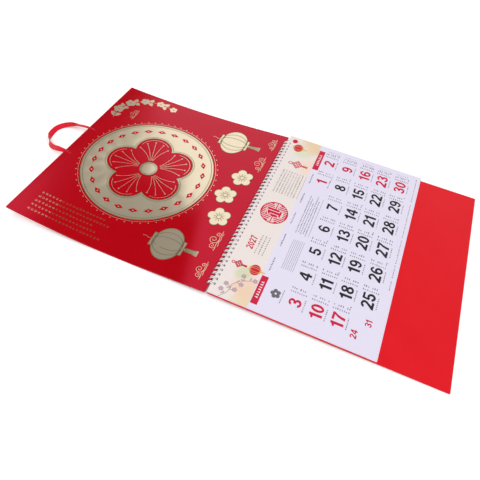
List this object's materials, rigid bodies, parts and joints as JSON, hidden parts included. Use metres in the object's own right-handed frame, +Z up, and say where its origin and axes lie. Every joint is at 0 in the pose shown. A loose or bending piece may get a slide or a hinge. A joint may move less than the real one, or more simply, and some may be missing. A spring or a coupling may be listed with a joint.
{
  "type": "wall calendar",
  "caption": "Wall calendar lying open: hanging board and base board joined by a twin loop wire, with a month pad that turns up and a hanging ribbon loop.",
  "frame": {"origin": "on the table below the middle of the binding wire, on the boards' centre line", "axes": "+Y towards the hanging edge, +X towards the right side of the calendar as it is read, +Z up out of the printed faces"},
  "size_m": [0.3695, 0.756, 0.0207],
  "materials": {
    "hanging_board": "gloss laminated card, crimson",
    "foil": "hot-stamped pale gold foil",
    "base_board": "smooth card, bright red",
    "month_pad": "uncoated paper, warm white",
    "wire": "white nylon coated wire",
    "ribbon": "red satin ribbon"
  },
  "bodies": {
    "hanger": {"hanging_board": "hanging_board", "gold_foil": "foil", "wire_binding": "wire", "hanging_ribbon": "ribbon"},
    "base": {"base_board": "base_board"},
    "pad": {"month_pad": "month_pad"}
  },
  "joints": [
    {"name": "base_fold", "type": "hinge", "parent": "hanger", "child": "base", "pos_m": [0, 0, 0.0057], "axis": [1, 0, 0], "range_deg": [0, 160]},
    {"name": "pad_turn", "type": "hinge", "parent": "base", "child": "pad", "pos_m": [0, -0.00005, 0.00855], "axis": [-1, 0, 0], "range_deg": [0, 180]}
  ]
}
